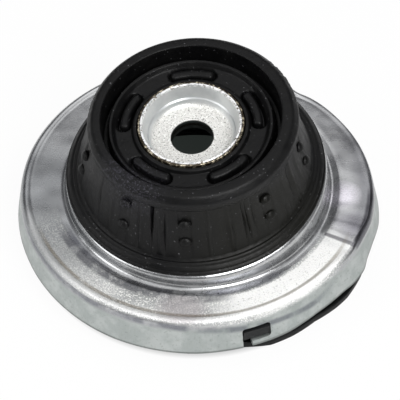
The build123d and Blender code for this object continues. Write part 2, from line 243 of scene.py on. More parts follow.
# The angle round the bearing's axis, the radius and the height.
ROUND_AXIS, given = new_group("round_axis", {"Place": ORIGIN}, ["Angle", "Radius", "Height"])
parts = add(ROUND_AXIS, "ShaderNodeSeparateXYZ", {0: given["Place"]}).outputs
azimuth = add(ROUND_AXIS, "ShaderNodeMath", {0: parts["Y"], 1: parts["X"]}, operation="ARCTAN2")
azimuth = add(ROUND_AXIS, "ShaderNodeMath", {0: azimuth, 1: 180 / math.pi}, operation="MULTIPLY")
level = add(ROUND_AXIS, "ShaderNodeVectorMath", {
    0: given["Place"], 1: (1.0, 1.0, 0.0),
}, operation="MULTIPLY")
reach = add(ROUND_AXIS, "ShaderNodeVectorMath", {0: level}, operation="LENGTH").outputs["Value"]
add(ROUND_AXIS, "NodeGroupOutput", {"Angle": azimuth, "Radius": reach, "Height": parts["Z"]})

# A stretch of a ring round the bearing's axis: from the radius Inner to Outer, with edges of the
# width Edge, and from the azimuth From to To, fading over Fade.
STRETCH, given = new_group("stretch_of_ring", {
    "Place": ORIGIN, "Inner": 0.0, "Outer": 1.0, "Edge": 1.0, "From": -90.0, "To": 90.0, "Fade": 1.0,
    "Within": 1.0,
}, ["Share"])
axis = add(STRETCH, ROUND_AXIS, {"Place": given["Place"]}).outputs
ring = add(STRETCH, BAND, {
    "Value": axis["Radius"], "Low": given["Inner"], "High": given["Outer"], "Soft": given["Edge"],
    "Within": given["Within"],
})
share = add(STRETCH, BAND, {
    "Value": axis["Angle"], "Low": given["From"], "High": given["To"], "Soft": given["Fade"],
    "Within": ring,
})
add(STRETCH, "NodeGroupOutput", {"Share": share})


# Zinc-plated pressed steel: crystals of the coat give a bright grain in front, made brighter still by
# painted sheens, glints and highlights; the collar and the back were drawn smooth, so they shine in broad
# grey sheets; the skirt is dull and faintly green.
zinc, tree, shader, place = new_finish("zinc_plated_pressed_steel")
axis = add(tree, ROUND_AXIS, {"Place": place}).outputs
radius, height = axis["Radius"], axis["Height"]
toward = add(tree, "ShaderNodeSeparateXYZ", {0: place}).outputs["Y"]
front = add(tree, "ShaderNodeMapRange", {0: toward, 1: 8.0, 2: -22.0})
valley = add(tree, BAND, {"Value": radius, "Low": 49.0, "High": 59.6, "Soft": 0.8})
grain = add(tree, STRETCH, {
    "Place": place, "Inner": 49.0, "Outer": 59.6, "Edge": 0.8, "From": -158.0, "To": -36.0,
    "Fade": 14.0, "Within": front,
})
skirt = add(tree, "ShaderNodeMapRange", {0: height, 1: 17.6, 2: 16.0})
above_skirt = add(tree, "ShaderNodeMapRange", {0: height, 1: 17.6, 2: 18.2})
skirt_foot = add(tree, BAND, {"Value": height, "High": 7.5, "Soft": 0.5})

# In front: broad painted sheens, painted glints and pits of the grain, and a painted highlight over the
# whitest stretch to the right. The real crystals are finer than half a millimetre; they are drawn as
# coarse as they need to show.
painted_sheens = add(tree, PATCHES, {
    "Place": place, "Size": 14.0, "Low": 0.4, "High": 0.58, "Detail": 1.0, "Within": grain,
})
painted_glints = add(tree, PATCHES, {
    "Place": place, "Size": 0.45, "Low": 0.5, "High": 0.6, "Detail": 2.0, "Within": grain,
})
pits = add(tree, PATCHES, {
    "Place": place, "Size": 0.55, "Low": 0.58, "High": 0.66, "Detail": 2.0, "Within": grain,
})
whitest_highlight = add(tree, STRETCH, {
    "Place": place, "Inner": 50.0, "Outer": 58.8, "Edge": 0.6, "From": -74.0, "To": -32.0,
    "Fade": 12.0,
})
# Painted highlight along the top of the bead, on the front side.
bead_highlight = add(tree, STRETCH, {
    "Place": place, "Inner": 57.7, "Outer": 59.2, "Edge": 0.4, "From": -165.0, "To": -84.0, "Fade": 8.0,
})
rubbed = add(tree, SPOT, {
    "Place": place, "Centre": (-4.5, -53.5, 19.5), "Inner": 5.0, "Outer": 10.0, "Within": valley,
})

# A faint round dent in the valley, drawn only as painted shade along its edge.
DENT_AT = (-1.8, -50.5, 19.5)
away = add(tree, "ShaderNodeVectorMath", {0: place, 1: DENT_AT}, operation="DISTANCE").outputs["Value"]
outer_side = add(tree, "ShaderNodeMapRange", {0: radius, 1: 51.5, 2: 49.5})
dent_edge_shade = add(tree, BAND, {"Value": away, "Low": 3.0, "High": 3.2, "Soft": 0.35, "Within": outer_side})

# Painted shadow along the collar's foot, brownish painted shade in the groove before the bead, and a line
# of painted shade on the shoulder.
foot_shadow = add(tree, STRETCH, {
    "Place": place, "Inner": 47.2, "Outer": 50.6, "Edge": 1.2, "From": -150.0, "To": -84.0,
    "Fade": 10.0,
})
foot_shadow = add(tree, PATCHES, {
    "Place": place, "Size": 9.0, "Low": 0.3, "High": 0.5, "Within": foot_shadow,
})
right_shadow = add(tree, STRETCH, {
    "Place": place, "Inner": 46.8, "Outer": 48.8, "Edge": 0.8, "From": -80.0, "To": -56.0, "Fade": 8.0,
})
groove_shade = add(tree, STRETCH, {
    "Place": place, "Inner": 56.3, "Outer": 57.0, "Edge": 0.5, "From": -150.0, "To": -34.0,
    "Fade": 12.0,
})
groove_shade = add(tree, PATCHES, {
    "Place": place, "Size": 5.0, "Low": 0.15, "High": 0.45, "Within": groove_shade,
})
shoulder_shade_line = add(tree, STRETCH, {
    "Place": place, "Inner": 60.4, "Outer": 60.7, "Edge": 0.3, "From": -160.0, "To": -50.0,
    "Fade": 12.0,
})
shoulder_shade_line = add(tree, PATCHES, {
    "Place": place, "Size": 7.0, "Low": 0.3, "High": 0.55, "Within": shoulder_shade_line,
})

# The ear, with painted shade: darker to its edge, with a dark slope and a dark crease where it starts; and
# a painted highlight in a bright patch.
ear_edge_shade = add(tree, BAND, {
    "Value": radius, "Low": 57.5, "High": 63.0, "Soft": 4.0, "Within": above_skirt,
})
ear_edge_shade = add(tree, "ShaderNodeMapRange", {0: axis["Angle"], 1: -27.0, 2: -26.4, 4: ear_edge_shade})
ear_edge_shade = add(tree, "ShaderNodeMapRange", {0: axis["Angle"], 1: 50.0, 2: 5.0, 4: ear_edge_shade})
ear_slope_shade = add(tree, STRETCH, {
    "Place": place, "Inner": 59.8, "Outer": 64.0, "Edge": 0.7, "From": -24.0, "To": -6.0, "Fade": 5.0,
    "Within": above_skirt,
})
crease_shade = add(tree, STRETCH, {
    "Place": place, "Inner": 49.5, "Outer": 60.0, "Edge": 0.8, "From": -27.4, "To": -26.6, "Fade": 0.5,
})
ear_highlight = add(tree, SPOT, {
    "Place": place, "Centre": (50.7, -5.8, 20.7), "Inner": 2.5, "Outer": 7.0,
})
ear_cloud = add(tree, SPOT, {
    "Place": place, "Centre": (52.0, -19.0, 20.7), "Inner": 3.0, "Outer": 7.0,
})

# Two darker stretches on the left, where the sheet mirrors the dark of the room.
left_dark = add(tree, SPOT, {
    "Place": place, "Centre": (-56.0, 2.0, 19.5), "Inner": 8.0, "Outer": 26.0, "Within": above_skirt,
})
low_left_dark = add(tree, SPOT, {
    "Place": place, "Centre": (-48.0, -27.0, 19.5), "Inner": 6.0, "Outer": 26.0,
    "Within": above_skirt,
})

# The skirt: upright streaks, pale clouds and dark flecks.
streaks = add(tree, PATCHES, {
    "Place": place, "Size": 1.6, "Low": 0.45, "High": 0.75, "Detail": 5.0, "Stretch": (2.2, 2.2, 0.35),
    "Within": skirt,
})
pale_clouds = add(tree, PATCHES, {
    "Place": place, "Size": 7.0, "Low": 0.45, "High": 0.6, "Detail": 4.0, "Within": skirt,
})
flecks = add(tree, PATCHES, {
    "Place": place, "Size": 1.0, "Low": 0.6, "High": 0.66, "Within": skirt,
})

tone = painted(
    tree, "#AFB0B1",
    ("#C3C4C5", 1.0, add(tree, PATCHES, {"Place": place, "Size": 12.0})),
    ("#B4B6B6", 0.85, grain),
    ("#DCDDDC", 0.8, painted_sheens),
    ("#FFFFFE", 0.95, whitest_highlight),
    ("#FAFAFA", 0.8, bead_highlight),
    ("#FFFFFC", 1.0, painted_glints),
    ("#8C8C88", 0.4, pits),
    ("#ADB3B1", 0.9, skirt),
    ("#98A09A", 0.3, streaks),
    ("#CBCFCD", 0.5, pale_clouds),
    ("#7C837E", 0.35, flecks),
    ("#5C605D", 0.6, skirt_foot),
    ("#B4ADB0", 0.6, rubbed),
    ("#6A6A6E", 0.5, dent_edge_shade),
    ("#4A4E5C", 0.6, shoulder_shade_line),
    ("#6A6A72", 0.5, ear_edge_shade),
    ("#7C7F82", 0.6, left_dark),
    ("#7A7D80", 0.6, low_left_dark),
    ("#FAF6FF", 0.8, ear_highlight),
    ("#8A8692", 0.4, ear_cloud),
    ("#46454C", 0.75, ear_slope_shade),
    ("#4C4A52", 0.75, crease_shade),
    ("#6E6048", 0.55, groove_shade),
    ("#4C4D55", 0.75, foot_shadow),
    ("#4C4D55", 0.7, right_shadow),
)

# The grain scatters light, so it is less metallic and rougher than the smooth sheet.
matt = add(tree, "ShaderNodeMapRange", {0: skirt, 3: grain, 4: 0.0})
metal = add(tree, "ShaderNodeMapRange", {0: matt, 3: 0.93, 4: 0.42})
metal = add(tree, "ShaderNodeMix", {0: whitest_highlight, 2: metal, 3: 0.12})
clouds = add(tree, PATCHES, {"Place": place, "Size": 6.0, "Low": 0.4, "High": 0.6})
dull = add(tree, "ShaderNodeMapRange", {0: grain, 3: 0.22, 4: 0.4})
dull = add(tree, "ShaderNodeMath", {0: skirt, 1: 0.2, 2: dull}, operation="MULTIPLY_ADD")
dull = add(tree, "ShaderNodeMath", {0: clouds, 1: 0.08, 2: dull}, operation="MULTIPLY_ADD")
grained = add(tree, "ShaderNodeMapRange", {0: grain, 3: 0.1, 4: 1.0})
crystals = add(tree, PATCHES, {
    "Place": place, "Size": 0.5, "Low": 0.3, "High": 0.7, "Detail": 2.0, "Within": grained,
})
waves = add(tree, PATCHES, {"Place": place, "Size": 16.0, "Low": 0.2, "High": 0.8, "Detail": 1.0})
bump = add(tree, "ShaderNodeBump", {"Height": crystals, "Distance": 0.09 * MM})
bump = add(tree, "ShaderNodeBump", {"Height": waves, "Distance": 0.5 * MM, "Normal": bump})
feed(tree, shader, {"Base Color": tone, "Metallic": metal, "Roughness": dull, "Normal": bump})

# Natural rubber, moulded: satin black, dusty where it was handled, with a pale bloom in fine
# specks on the lip; the side that faces the light gets painted light, a lighter brownish tint.
rubber, tree, shader, place = new_finish("moulded_natural_rubber")
BLOOM_AT = (-22.0, -28.0, 53.5)
axis = add(tree, ROUND_AXIS, {"Place": place}).outputs
dust = add(tree, PATCHES, {"Place": place, "Size": 6.0, "High": 0.7, "Detail": 5.0})
wall = add(tree, "ShaderNodeMapRange", {0: axis["Radius"], 1: 35.2, 2: 36.4})
wall = add(tree, "ShaderNodeMapRange", {0: axis["Height"], 1: 52.0, 2: 50.0, 4: wall})
# Painted light on the wall that faces the lamp.
lit_wall = add(tree, BAND, {
    "Value": axis["Angle"], "Low": -75.0, "High": -30.0, "Soft": 25.0, "Within": wall,
})
bloom = add(tree, SPOT, {"Place": place, "Centre": BLOOM_AT, "Inner": 5.0, "Outer": 15.0})
bloom = add(tree, PATCHES, {
    "Place": place, "Size": 0.6, "Low": 0.56, "High": 0.62, "Detail": 2.0, "Within": bloom,
})
haze = add(tree, SPOT, {"Place": place, "Centre": BLOOM_AT, "Inner": 6.0, "Outer": 17.0})
haze = add(tree, PATCHES, {"Place": place, "Size": 3.0, "Within": haze})
specks = add(tree, PATCHES, {"Place": place, "Size": 0.8, "Low": 0.73, "High": 0.76, "Detail": 1.0})
duct = add(tree, "ShaderNodeMapRange", {0: axis["Radius"], 1: 13.0, 2: 12.0})
tone = painted(
    tree, "#080809",
    ("#111111", 0.8, dust),
    ("#12120E", 0.8, lit_wall),
    ("#62606C", 0.35, bloom),
    ("#38373F", 0.2, haze),
    ("#8A8A8E", 0.4, specks),
    ("#5C635F", 0.8, duct),
)
satin = add(tree, "ShaderNodeMapRange", {0: dust, 3: 0.36, 4: 0.5})
pores = add(tree, PATCHES, {"Place": place, "Size": 0.8, "Low": 0.3, "High": 0.7})
bump = add(tree, "ShaderNodeBump", {"Height": pores, "Distance": 0.03 * MM})
bump = add(tree, "ShaderNodeBump", {"Height": dust, "Distance": 0.12 * MM, "Normal": bump})
feed(tree, shader, {
    "Base Color": tone, "Roughness": satin, "Specular IOR Level": 0.2, "Normal": bump,
})

# Drawn steel of the core, zinc-plated: its floor is speckled with dark pits and painted glints, its wall
# is satin; its rim is bare and worn, with painted glints; below the floor, the rod's hole included, it is
# painted dark grey-green as shade.
core, tree, shader, place = new_finish("zinc_plated_drawn_steel")
CORE_AT = PIVOT_Z * TOWER_UP.z
along = add(tree, "ShaderNodeVectorMath", {0: place, 1: TOWER_UP}, operation="DOT_PRODUCT")
along = along.outputs["Value"]
cup_floor = add(tree, "ShaderNodeMapRange", {0: along, 1: CORE_AT + 19.4, 2: CORE_AT + 18.3})
cup_rim = add(tree, "ShaderNodeMapRange", {0: along, 1: CORE_AT + 24.5, 2: CORE_AT + 25.3})
# Painted shade: below the floor and in the rod's hole the steel is coloured dark grey-green.
hole_shade = add(tree, "ShaderNodeMapRange", {0: along, 1: CORE_AT + 17.8, 2: CORE_AT + 17.3})
pits = add(tree, PATCHES, {
    "Place": place, "Size": 0.42, "Low": 0.58, "High": 0.63, "Detail": 2.0, "Within": cup_floor,
})
painted_glints = add(tree, PATCHES, {
    "Place": place, "Size": 0.7, "Low": 0.56, "High": 0.62, "Detail": 2.0, "Within": cup_floor,
})
# On the rim: white where the plating is worn, with painted glints, and brown where it is torn.
worn = add(tree, PATCHES, {"Place": place, "Size": 1.5, "Low": 0.4, "High": 0.5, "Within": cup_rim})
torn = add(tree, PATCHES, {"Place": place, "Size": 0.9, "Low": 0.56, "High": 0.6, "Within": cup_rim})
tone = painted(
    tree, "#C6C9CA",
    ("#D4D6D6", 1.0, add(tree, PATCHES, {"Place": place, "Size": 5.0})),
    ("#E9E8E4", 1.0, cup_floor),
    ("#5E5D57", 0.8, pits),
    ("#FDFDFA", 1.0, painted_glints),
    ("#FFFFFF", 1.0, worn),
    ("#5A4B33", 0.85, torn),
    ("#3A3F3D", 1.0, hole_shade),
)
dull = add(tree, "ShaderNodeMapRange", {0: cup_floor, 3: 0.3, 4: 0.5})
peened = add(tree, PATCHES, {
    "Place": place, "Size": 0.5, "Low": 0.3, "High": 0.7, "Detail": 2.0, "Within": cup_floor,
})
bump = add(tree, "ShaderNodeBump", {"Height": peened, "Distance": 0.05 * MM})
feed(tree, shader, {"Base Color": tone, "Metallic": 0.55, "Roughness": dull, "Normal": bump})

# The same steel with its cut rim bare: bright where it is rubbed, with painted glints among the bright
# specks, brown and dark where it is torn.
shell_steel, tree, shader, place = new_finish("drawn_steel_with_worn_rim")
along = add(tree, "ShaderNodeVectorMath", {0: place, 1: TOWER_UP}, operation="DOT_PRODUCT")
shell_rim = add(tree, "ShaderNodeMapRange", {
    0: along.outputs["Value"], 1: CORE_AT + 23.5, 2: CORE_AT + 24.5,
})
# Bright specks on the rim: rubbed bare metal, with painted glints.
rubbed = add(tree, PATCHES, {
    "Place": place, "Size": 1.3, "Low": 0.52, "High": 0.58, "Within": shell_rim,
})
torn = add(tree, PATCHES, {"Place": place, "Size": 1.1, "Low": 0.56, "High": 0.62})
tone = painted(
    tree, "#33312D",
    ("#4A4236", 1.0, shell_rim),
    ("#D9CFB6", 1.0, rubbed),
    ("#2A2620", 1.0, torn),
)
dents = add(tree, PATCHES, {"Place": place, "Size": 0.7, "Low": 0.3, "High": 0.7, "Detail": 4.0})
bump = add(tree, "ShaderNodeBump", {"Height": dents, "Distance": 0.1 * MM})
feed(tree, shader, {"Base Color": tone, "Metallic": 0.85, "Roughness": 0.32, "Normal": bump})

# Bearing steel, hardened and ground round the axis, so its fine lines run round. The lines are
# drawn wider than a grinding wheel leaves them, or they wouldn't show.
race_steel, tree, shader, place = new_finish("ground_bearing_steel")
axis = add(tree, ROUND_AXIS, {"Place": place}).outputs
across = add(tree, "ShaderNodeCombineXYZ", {"X": axis["Radius"], "Y": axis["Height"]})
lines = add(tree, PATCHES, {"Place": across, "Size": 0.12, "Detail": 4.0})
tone = painted(tree, "#A9ABAE", ("#C4C6C8", 1.0, lines))
dull = add(tree, "ShaderNodeMapRange", {0: lines, 3: 0.22, 4: 0.34})
feed(tree, shader, {"Base Color": tone, "Metallic": 1.0, "Roughness": dull})


def mottled(name, ground, over, clouds, rough, relief=0.0, metallic=0.0, specular=0.5):
    """A finish with one layer of clouds, which also turn its roughness and its relief, in mm."""
    material, tree, shader, place = new_finish(name)
    cloud = add(tree, PATCHES, {"Place": place, **clouds})
    feed(tree, shader, {
        "Base Color": painted(tree, ground, (over, 1.0, cloud)),
        "Roughness": add(tree, "ShaderNodeMapRange", {0: cloud, 3: rough[0], 4: rough[1]}),
        "Metallic": metallic, "Specular IOR Level": specular,
    })
    if relief:
        bump = add(tree, "ShaderNodeBump", {"Height": cloud, "Distance": relief * MM})
        feed(tree, shader, {"Normal": bump})
    return material


# Dull dark steel of the stop washer, phosphated: a matt grey-black with faint clouds.
washer_steel = mottled(
    "phosphated_washer_steel", "#2C2F2D", "#3A3D3B", {"Size": 2.0}, (0.45, 0.6), metallic=0.7,
)

# Spring-seat rubber: blacker and smoother than the tower, since a metal mould polished it.
pad_rubber = mottled(
    "moulded_seat_rubber", "#060707", "#0C0E0E", {"Size": 4.0, "High": 0.7, "Detail": 4.0},
    (0.4, 0.52), relief=0.06, specular=0.2,
)

# Nylon, glass-filled and moulded: black, faintly mottled.
nylon = mottled(
    "moulded_black_nylon", "#0A0B0C", "#131517", {"Size": 1.2, "High": 0.7, "Detail": 4.0},
    (0.4, 0.56), relief=0.03, specular=0.25,
)

# Nylon in its natural colour, for the ball cage: creamy, a little uneven.
cage_nylon = mottled("moulded_natural_nylon", "#D8D1BB", "#E6E0CE", {"Size": 2.0}, (0.4, 0.5))

# Bearing balls, lapped to a mirror with a trace of grease.
ball_steel = mottled(
    "lapped_bearing_steel", "#D8D9DA", "#C3C0B4", {"Size": 2.5, "Low": 0.4, "High": 0.7},
    (0.06, 0.25), metallic=1.0,
)


# Mesh building.
def mesh_object(name, vertices, faces):
    """An object at the origin with this mesh, its faces pointing outwards."""
    mesh = bpy.data.meshes.new(name)
    mesh.from_pydata(vertices, [], faces)
    made = bmesh.new()
    made.from_mesh(mesh)
    bmesh.ops.recalc_face_normals(made, faces=made.faces)
    made.to_mesh(mesh)
    made.free()
    return linked(name, mesh)


def edited_object(name, made):
    """An object at the origin with the mesh that was edited in made, which is freed."""
    mesh = bpy.data.meshes.new(name)
    made.to_mesh(mesh)
    made.free()
    return linked(name, mesh)


def apply_modifiers(item):
    """Turns an object's modifiers into its plain mesh."""
    graph = bpy.context.evaluated_depsgraph_get()
    made = bpy.data.meshes.new_from_object(item.evaluated_get(graph))
    item.modifiers.clear()
    item.data = made


def shade(item, degrees=32):
    """Smooth shading, sharp across edges steeper than this."""
    item.data.shade_smooth()
    item.data.set_sharp_from_angle(angle=math.radians(degrees))


def rounded(corners, step=1.2, arc=5, small=0.0):
    """Points of a closed profile. Each corner is (radius, height, fillet), all in millimetres.

    A fillet has arc steps, or two where it is smaller than small.
    """
    points = []
    count = len(corners)
    for i, (r, h, fillet) in enumerate(corners):
        here = np.array((r, h), float)
        before = np.array(corners[i - 1][:2], float) - here
        after = np.array(corners[(i + 1) % count][:2], float) - here
        if fillet <= 0:
            points.append(here)
            continue
        a = before / np.linalg.norm(before)
        b = after / np.linalg.norm(after)
        half = math.acos(max(-1.0, min(1.0, float(a @ b)))) / 2
        reach = fillet / math.tan(half)
        start, end = here + a * reach, here + b * reach
        middle = here + (a + b) / np.linalg.norm(a + b) * (fillet / math.sin(half))
        pieces = arc if fillet > small else 2
        for k in range(pieces + 1):
            t = k / pieces
            spoke = (start - middle) * (1 - t) + (end - middle) * t
            points.append(middle + spoke / np.linalg.norm(spoke) * fillet)
    filled = []
    for p, q in zip(points, points[1:] + points[:1]):
        length = np.linalg.norm(q - p)
        if length < 1e-4:
            continue
        pieces = max(1, math.ceil(length / (step(p, q) if callable(step) else step)))
        filled += [p + (q - p) * k / pieces for k in range(pieces)]
    return np.array(filled)


def ring_faces(rows, columns):
    """Quads of a closed skin: rows run round the profile and columns round the axis."""
    index = np.arange(rows * columns).reshape(rows, columns)
    right = np.roll(index, -1, axis=1)
    above = np.roll(index, -1, axis=0)
    corner = np.roll(right, -1, axis=0)
    return np.stack([index, right, corner, above], axis=-1).reshape(-1, 4).tolist()


def turned(name, profile, columns, shape=None, on_tower=False):
    """A ring turned from a closed profile; shape may move its points by angle, in millimetres."""
    angles = np.arange(columns) * 2 * math.pi / columns
    r = np.repeat(profile[:, :1], columns, axis=1)
    h = np.repeat(profile[:, 1:], columns, axis=1)
    a = np.repeat(angles[None, :], len(profile), axis=0)
    if shape:
        r, a, h = shape(r, a, h)
    points = np.stack([r * np.cos(a), r * np.sin(a), h], axis=-1) * MM
    item = mesh_object(name, points.reshape(-1, 3).tolist(), ring_faces(len(profile), columns))
    if on_tower:
        item.data.transform(TOWER)
    return item


def window(value, low, high, soft):
    """1 between low and high, easing to 0 over soft on both sides."""
    up = np.clip((value - low) / soft + 0.5, 0, 1)
    down = np.clip((high - value) / soft + 0.5, 0, 1)
    t = np.minimum(up, down)
    return t * t * (3 - 2 * t)


def turn_from(angle, centre):
    """Degrees from a centre azimuth, within half a turn either way."""
    return (np.degrees(angle) - centre + 180) % 360 - 180


def ripple(angle, waves):
    """A sum of sines round the axis: each wave is (turns, size, phase in degrees)."""
    return sum(size * np.sin(turns * angle + math.radians(phase)) for turns, size, phase in waves)


# Geometry Nodes tree for what repeats: copies of a piece on marked points.
def copies_tree(name):
    """Puts a copy of the chosen piece on each point, turned by the points' marks."""
    group = bpy.data.node_groups.new(name, "GeometryNodeTree")
    face = group.interface
    face.new_socket("Points", in_out="INPUT", socket_type="NodeSocketGeometry")
    face.new_socket("Piece", in_out="INPUT", socket_type="NodeSocketObject")
    face.new_socket("Size", in_out="INPUT", socket_type="NodeSocketFloat").default_value = 1.0
    face.new_socket("Finish", in_out="INPUT", socket_type="NodeSocketMaterial")
    face.new_socket("Copies", in_out="OUTPUT", socket_type="NodeSocketGeometry")
    given = add(group, "NodeGroupInput").outputs
    piece = add(group, "GeometryNodeObjectInfo", {"Object": given["Piece"]})
    turn = add(group, "GeometryNodeInputNamedAttribute", {"Name": "turn"}, data_type="FLOAT_VECTOR")
    turn = add(group, "FunctionNodeEulerToRotation", {"Euler": turn})
    placed = add(group, "GeometryNodeInstanceOnPoints", {
        "Points": given["Points"], "Instance": piece.outputs["Geometry"],
        "Rotation": turn, "Scale": given["Size"],
    })
    real = add(group, "GeometryNodeRealizeInstances", {"Geometry": placed})
    done = add(group, "GeometryNodeSetMaterial", {"Geometry": real, "Material": given["Finish"]})
    add(group, "NodeGroupOutput", {"Copies": done})
    return group


COPIES = copies_tree("copies_on_points")


def copies(name, piece, points_mm, turns, finish, size=1.0):
    """A plain mesh object holding a copy of piece on each point, made by the tree above."""
    mesh = bpy.data.meshes.new(name)
    mesh.from_pydata([[c * MM for c in p] for p in points_mm], [], [])
    mark = mesh.attributes.new("turn", "FLOAT_VECTOR", "POINT")
    mark.data.foreach_set("vector", np.asarray(turns, float).ravel())
    base = linked(name, mesh)
    modifier = base.modifiers.new("copies", "NODES")
    modifier.node_group = COPIES
    sockets = {s.name: s.identifier for s in COPIES.interface.items_tree if s.in_out == "INPUT"}
    modifier[sockets["Piece"]] = piece
    modifier[sockets["Size"]] = size
    modifier[sockets["Finish"]] = finish
    apply_modifiers(base)
    bpy.data.objects.remove(piece)
    return base


def outline_solid(name, outline, low, high, edge):
    """A flat-based solid from an outline in millimetres, its top edge rounded."""
    made = bmesh.new()
    ring = [made.verts.new((x * MM, y * MM, low * MM)) for x, y in outline]
    floor = made.faces.new(ring)
    lifted = bmesh.ops.extrude_face_region(made, geom=[floor])["geom"]
    top = [v for v in lifted if isinstance(v, bmesh.types.BMVert)]
    bmesh.ops.translate(made, vec=(0, 0, (high - low) * MM), verts=top)
    made.normal_update()
    marked = set(top)
    edges = [e for e in made.edges if e.verts[0] in marked and e.verts[1] in marked]
    bmesh.ops.bevel(made, geom=edges, offset=edge * MM, segments=6, affect="EDGES", profile=0.5)
    bmesh.ops.recalc_face_normals(made, faces=made.faces)
    return edited_object(name, made)


def rounded_box(half, tall, corner, arc=5):
    """Outline of a rounded rectangle round the origin, from its half sizes."""
    flat = []
    for cx, cy, start in ((1, 1, 0), (-1, 1, 90), (-1, -1, 180), (1, -1, 270)):
        for k in range(arc + 1):
            t = math.radians(start + 90 * k / arc)
            flat.append((cx * (half - corner) + corner * math.cos(t),
                         cy * (tall - corner) + corner * math.sin(t)))
    return flat


def kidney_outline(inner, outer, length, corner, run=16):
    """Outline of a bent rounded rectangle about azimuth 0."""
    middle = (inner + outer) / 2
    flat = rounded_box(length / 2, (outer - inner) / 2, corner)
    filled = []
    for p, q in zip(flat, flat[1:] + flat[:1]):
        pieces = run if abs(q[0] - p[0]) > length / 2 else 1
        filled += [(p[0] + (q[0] - p[0]) * k / pieces, p[1] + (q[1] - p[1]) * k / pieces)
                   for k in range(pieces)]
    return [((middle + y) * math.cos(x / middle), (middle + y) * math.sin(x / middle))
            for x, y in filled]


# Plate: neck and annulus under the rubber, leaning collar, level valley, bead, shoulder and skirt.
PLATE_COLUMNS = 960
angles = np.arange(PLATE_COLUMNS) * 2 * math.pi / PLATE_COLUMNS
degrees_round = turn_from(angles, 0)
tower_up = np.array(TOWER_UP)
tower_x = np.array(TOWER_X)
tower_y = np.array(TOWER_Y)
spoke = np.cos(angles)[:, None] * tower_x + np.sin(angles)[:, None] * tower_y
outward = np.stack([np.cos(angles), np.sin(angles), np.zeros_like(angles)], axis=-1)


def by_azimuth(*points):
    """A value for each column, drawn smoothly through (azimuth, value) points round the flange."""
    marks = np.array(points, float)
    value = np.interp(degrees_round, marks[:, 0], marks[:, 1], period=360)
    return sum(np.roll(value, k) for k in range(-4, 5)) / 9


# How far the flange's own outline lies outside its plain circles, in millimetres; then the ear's
# rise, the drop of its outer edge, what is left of the bead, and the folds at the ear's corner.
flat_out = by_azimuth(
    (-100, 0.0), (-85, -0.3), (-62, -1.0), (-50, -1.1), (-42, -0.8), (-36, -0.2), (-31, 0.4),
    (-26.6, 1.1), (-20.4, 2.4), (-15, 3.2), (-10, 3.1), (-3.5, 2.7), (3, 2.1), (10, 1.8),
    (17, 1.4), (25, 1.0), (35, 0.2), (42, -0.6), (48, -2.0), (52, -2.4), (60, -1.4), (90, -1.0),
    (150, -0.4), (170, 0.0),
)
shoulder_out = by_azimuth(
    (-130, 0.0), (-100, 0.0), (-85, -0.4), (-62, -1.5), (-50, -1.7), (-42, -1.3), (-35, 0.0),
    (-29, 0.5), (-22, 0.7), (-14, 1.4), (-8, 1.3), (0, 1.2), (10, 0.5), (20, -0.3), (30, -1.2),
    (40, -1.8), (45, -2.4), (50, -3.2), (54, -2.4), (60, -1.8), (90, -1.5), (125, -1.1),
    (150, -0.7), (165, -0.2), (178, 0.0),
)
skirt_out = by_azimuth(
    (-178, -0.4), (-158, -0.6), (-135, -0.2), (-115, 0.25), (-90, 0.3), (-80, 0.0), (-60, -0.2),
    (-54, -0.7), (-48, -0.9), (-40, -0.4), (-36, 0.0), (-33, 0.8), (-26, 1.6), (-21, 0.6),
    (-15, 0.7), (-7, 1.7), (2, 1.6), (10, 1.1), (20, 0.0), (40, -1.3), (60, -1.0), (90, -0.6),
    (150, -0.4),
)
ear_lift = by_azimuth(
    (-28.2, 0.0), (-26.4, 1.1), (-22, 1.2), (5, 1.2), (25, 0.8), (40, 0.45), (47, 0.3), (50, 0.0),
)
corner_drop = by_azimuth((-31, 0.0), (-27, 1.3), (-21, 1.3), (-10, 0.8), (5, 0.35), (18, 0.0))
bead_left = by_azimuth((-32, 1.0), (-28, 0.15), (46, 0.15), (50, 1.0))
folds = by_azimuth((-28.6, 0.0), (-27.4, -0.12), (-26.2, 0.12), (-24, 0.0), (-22.4, 0.0), (-21.0, 0.16),
                   (-19.6, 0.0), (-14.6, 0.0), (-12.4, 0.12), (-10.4, 0.0))

# The flange's top from the valley over the bead and the shoulder: radius, and height over the seat.
FLANGE_TOP = (
    (50.0, 0), (51.5, 0), (53, 0), (54.5, 0), (55.6, 0), (56.3, -0.03), (56.8, -0.05), (57.2, 0.0),
    (57.6, 0.16), (58.1, 0.34), (58.6, 0.42), (59.1, 0.36), (59.5, 0.2), (59.9, -0.1), (60.25, -0.5),
    (60.5, -1.0), (60.65, -1.5), (60.75, -2.0),
)


def tower_ring(r, w):
    """A ring of plate points in the tower's frame."""
    return np.array((0, 0, PIVOT_Z)) + r * spoke + w * tower_up


def foot_ring(r, z, bend, share):
    """A ring on the fillet where the collar meets the valley, bend being the fillet's radius."""
    rise = (z + bend - PIVOT_Z - r * spoke[:, 2]) / tower_up[2]
    top = tower_ring(r, 0) + rise[:, None] * tower_up
    t = math.radians(90 * share)
    return top + outward * (bend * (1 - math.cos(t))) - np.array((0, 0, bend * math.sin(t)))


